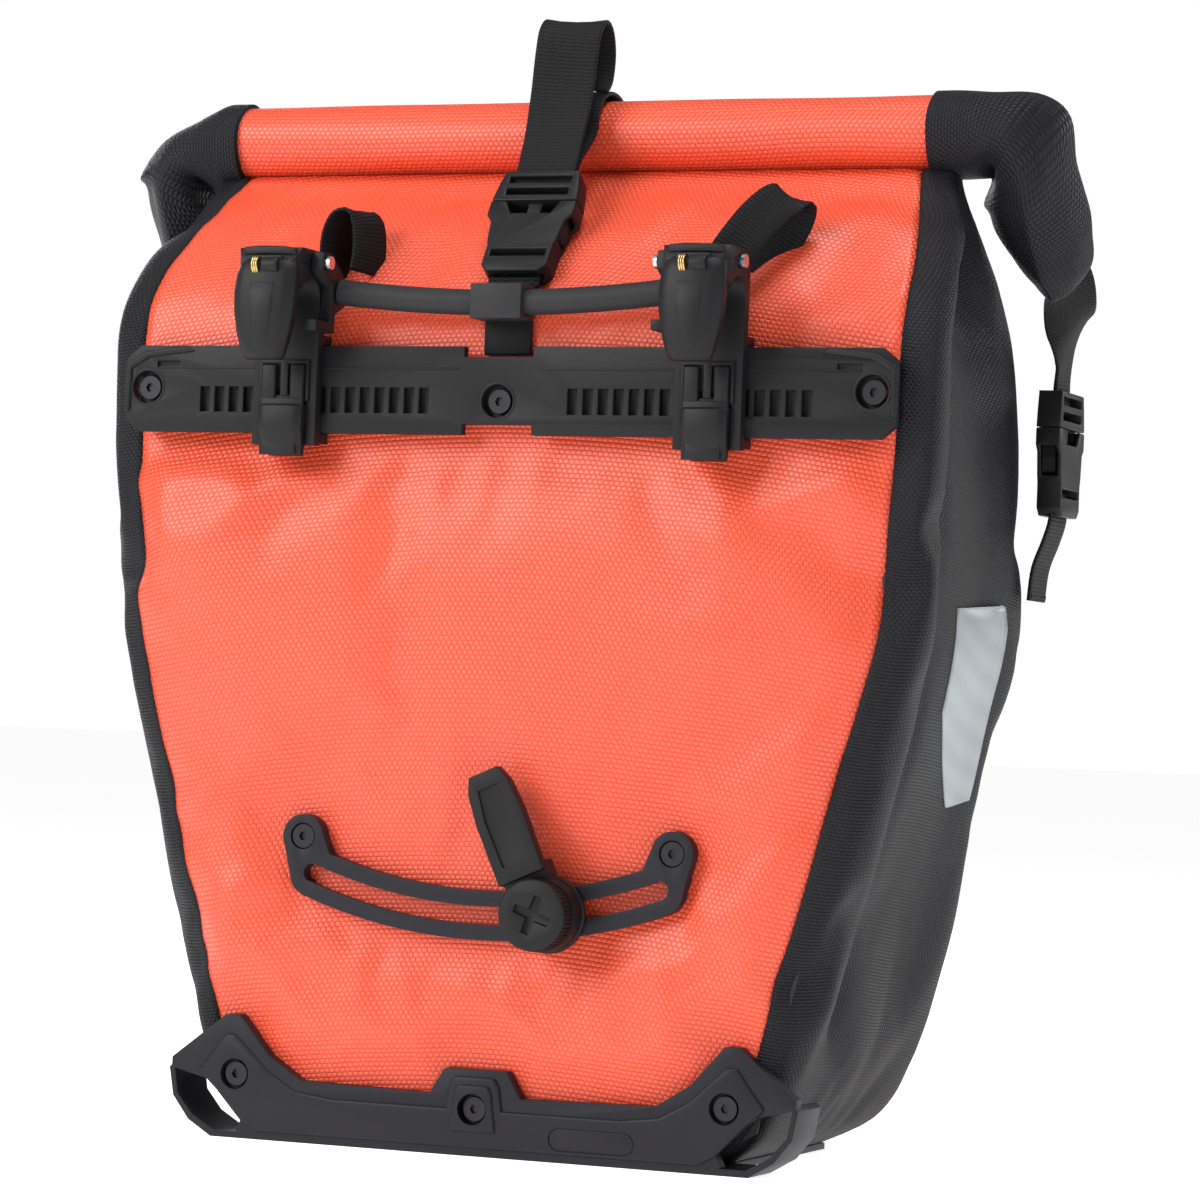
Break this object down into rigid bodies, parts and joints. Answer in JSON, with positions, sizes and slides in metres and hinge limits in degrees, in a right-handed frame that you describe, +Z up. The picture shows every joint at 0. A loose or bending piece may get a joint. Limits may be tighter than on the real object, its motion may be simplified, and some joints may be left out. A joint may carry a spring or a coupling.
{
  "type": "pannier bag",
  "caption": "Roll-top bicycle pannier of coated fabric with a hook rail, quick-release rack hooks, swivelling lower anchor, bottom guard, webbing straps and buckles.",
  "frame": {"origin": "middle of the underside of the bottom guard, at mid depth", "axes": "+Z up, -Y towards the rack side with the hooks, +X to the right when facing the rack side"},
  "size_m": [0.4008, 0.2066, 0.4466],
  "materials": {
    "coral_fabric": "coated woven fabric, glossy, embossed cell pattern",
    "black_fabric": "coated coarse weave, satin",
    "stiffener_sheet": "sheet plastic, matt",
    "reflective_film": "reflective film, satin silver",
    "charcoal_plastic": "moulded nylon, satin fine grain",
    "slate_plastic": "moulded nylon, satin slate grey",
    "black_screw_steel": "black zinc, semi-gloss",
    "bright_steel": "bright steel",
    "spring_brass": "drawn wire, bright",
    "hose_rubber": "extruded rubber, matt",
    "black_webbing": "ribbed nylon webbing"
  },
  "bodies": {
    "bag": {"back_panel": "coral_fabric", "front_panel": "coral_fabric", "gusset_left": "black_fabric", "gusset_right": "black_fabric", "base_panel": "black_fabric", "roll": "coral_fabric", "roll_end_left": "black_fabric", "roll_end_right": "black_fabric", "closure_bar": "stiffener_sheet", "back_stiffener": "stiffener_sheet", "inner_pocket": "black_fabric", "reflector_left": "reflective_film", "reflector_right": "reflective_film", "mounting_rail": "charcoal_plastic", "rail_screws": "black_screw_steel", "rail_nuts": "bright_steel", "arc_rail": "slate_plastic", "arc_screws": "black_screw_steel", "arc_nuts": "bright_steel", "bottom_guard": "slate_plastic", "guard_screws": "black_screw_steel", "guard_nuts": "bright_steel", "center_tab": "black_webbing", "center_socket": "charcoal_plastic", "center_socket_tab": "black_webbing", "closure_strap": "black_webbing", "side_strap_lower_left": "black_webbing", "side_strap_lower_right": "black_webbing", "side_socket_left": "charcoal_plastic", "side_socket_right": "charcoal_plastic"},
    "handle": {"handle_hose": "hose_rubber", "handle_core": "black_webbing", "hose_clip": "hose_rubber"},
    "anchor_slide": {"anchor_slider": "charcoal_plastic"},
    "anchor_hook": {"anchor_fin": "charcoal_plastic"},
    "anchor_lock": {"anchor_knob": "charcoal_plastic"},
    "center_clip": {"center_plug": "charcoal_plastic", "carry_loop": "black_webbing"},
    "center_prong_l": {"center_prong_left": "charcoal_plastic"},
    "center_prong_r": {"center_prong_right": "charcoal_plastic"},
    "hook_left": {"hook_body_left": "charcoal_plastic", "lever_pin_left": "bright_steel", "lever_spring_left": "spring_brass", "handle_loop_left": "black_webbing"},
    "lever_left": {"lock_lever_left": "charcoal_plastic"},
    "latch_left": {"rail_latch_left": "charcoal_plastic"},
    "side_clip_left": {"side_plug_left": "charcoal_plastic", "side_strap_upper_left": "black_webbing"},
    "side_prong_left_f": {"side_prong_left_front": "charcoal_plastic"},
    "side_prong_left_r": {"side_prong_left_rear": "charcoal_plastic"},
    "hook_right": {"hook_body_right": "charcoal_plastic", "lever_pin_right": "bright_steel", "lever_spring_right": "spring_brass", "handle_loop_right": "black_webbing"},
    "lever_right": {"lock_lever_right": "charcoal_plastic"},
    "latch_right": {"rail_latch_right": "charcoal_plastic"},
    "side_clip_right": {"side_plug_right": "charcoal_plastic", "side_strap_upper_right": "black_webbing"},
    "side_prong_right_f": {"side_prong_right_front": "charcoal_plastic"},
    "side_prong_right_r": {"side_prong_right_rear": "charcoal_plastic"}
  },
  "joints": [
    {"name": "handle_lift", "type": "slide", "parent": "bag", "child": "handle", "axis": [0, 0, 1], "range_m": [0, 0.005], "stiffness_N_per_m": 600, "springref_m": -0.003},
    {"name": "hook_left_slide", "type": "slide", "parent": "bag", "child": "hook_left", "axis": [-1, 0, 0], "range_m": [0, 0.006]},
    {"name": "lever_left_turn", "type": "hinge", "parent": "hook_left", "child": "lever_left", "pos_m": [-0.088, -0.103, 0.3411], "axis": [1, 0, 0], "range_deg": [0, 20.5]},
    {"name": "latch_left_turn", "type": "hinge", "parent": "hook_left", "child": "latch_left", "pos_m": [-0.088, -0.0977, 0.289], "axis": [-1, 0, 0], "range_deg": [0, 35], "stiffness_Nm_per_rad": 0.02},
    {"name": "side_clip_left_pull", "type": "slide", "parent": "bag", "child": "side_clip_left", "axis": [0, 0, 1], "range_m": [0, 0.022]},
    {"name": "side_prong_left_f_squeeze", "type": "hinge", "parent": "side_clip_left", "child": "side_prong_left_f", "pos_m": [-0.177, 0.0575, 0.292], "axis": [1, 0, 0], "range_deg": [0, 6], "stiffness_Nm_per_rad": 0.05},
    {"name": "side_prong_left_r_squeeze", "type": "hinge", "parent": "side_clip_left", "child": "side_prong_left_r", "pos_m": [-0.177, 0.0825, 0.292], "axis": [-1, 0, 0], "range_deg": [0, 6], "stiffness_Nm_per_rad": 0.05},
    {"name": "hook_right_slide", "type": "slide", "parent": "bag", "child": "hook_right", "axis": [1, 0, 0], "range_m": [0, 0.006]},
    {"name": "lever_right_turn", "type": "hinge", "parent": "hook_right", "child": "lever_right", "pos_m": [0.088, -0.103, 0.3411], "axis": [1, 0, 0], "range_deg": [0, 20.5]},
    {"name": "latch_right_turn", "type": "hinge", "parent": "hook_right", "child": "latch_right", "pos_m": [0.088, -0.0977, 0.289], "axis": [-1, 0, 0], "range_deg": [0, 35], "stiffness_Nm_per_rad": 0.02},
    {"name": "side_clip_right_pull", "type": "slide", "parent": "bag", "child": "side_clip_right", "axis": [0, 0, 1], "range_m": [0, 0.022]},
    {"name": "side_prong_right_f_squeeze", "type": "hinge", "parent": "side_clip_right", "child": "side_prong_right_f", "pos_m": [0.177, 0.0575, 0.292], "axis": [1, 0, 0], "range_deg": [0, 6], "stiffness_Nm_per_rad": 0.05},
    {"name": "side_prong_right_r_squeeze", "type": "hinge", "parent": "side_clip_right", "child": "side_prong_right_r", "pos_m": [0.177, 0.0825, 0.292], "axis": [-1, 0, 0], "range_deg": [0, 6], "stiffness_Nm_per_rad": 0.05},
    {"name": "anchor_travel", "type": "hinge", "parent": "bag", "child": "anchor_slide", "pos_m": [0, -0.088, 0.302], "axis": [0, 1, 0], "range_deg": [-10, 26]},
    {"name": "anchor_swivel", "type": "hinge", "parent": "anchor_slide", "child": "anchor_hook", "pos_m": [0.0285, -0.099, 0.09394], "axis": [0, 1, 0], "continuous": true},
    {"name": "knob_turn", "type": "hinge", "parent": "anchor_slide", "child": "anchor_lock", "pos_m": [0.0285, -0.103, 0.09394], "axis": [0, 1, 0], "continuous": true},
    {"name": "center_clip_pull", "type": "slide", "parent": "bag", "child": "center_clip", "axis": [0, 0.5446, 0.8387], "range_m": [0, 0.022]},
    {"name": "center_prong_r_squeeze", "type": "hinge", "parent": "center_clip", "child": "center_prong_r", "pos_m": [0.0125, -0.06, 0.367], "axis": [0, 0.8387, -0.5446], "range_deg": [0, 6], "stiffness_Nm_per_rad": 0.05},
    {"name": "center_prong_l_squeeze", "type": "hinge", "parent": "center_clip", "child": "center_prong_l", "pos_m": [-0.0125, -0.06, 0.367], "axis": [0, -0.8387, 0.5446], "range_deg": [0, 6], "stiffness_Nm_per_rad": 0.05}
  ],
  "couplings": [
    {"joint": "lever_left_turn", "follows": "handle_lift", "rad_per_m": 69.813},
    {"joint": "side_prong_left_r_squeeze", "follows": "side_prong_left_f_squeeze", "ratio": 1},
    {"joint": "lever_right_turn", "follows": "handle_lift", "rad_per_m": 69.813},
    {"joint": "side_prong_right_r_squeeze", "follows": "side_prong_right_f_squeeze", "ratio": 1},
    {"joint": "center_prong_l_squeeze", "follows": "center_prong_r_squeeze", "ratio": 1}
  ]
}
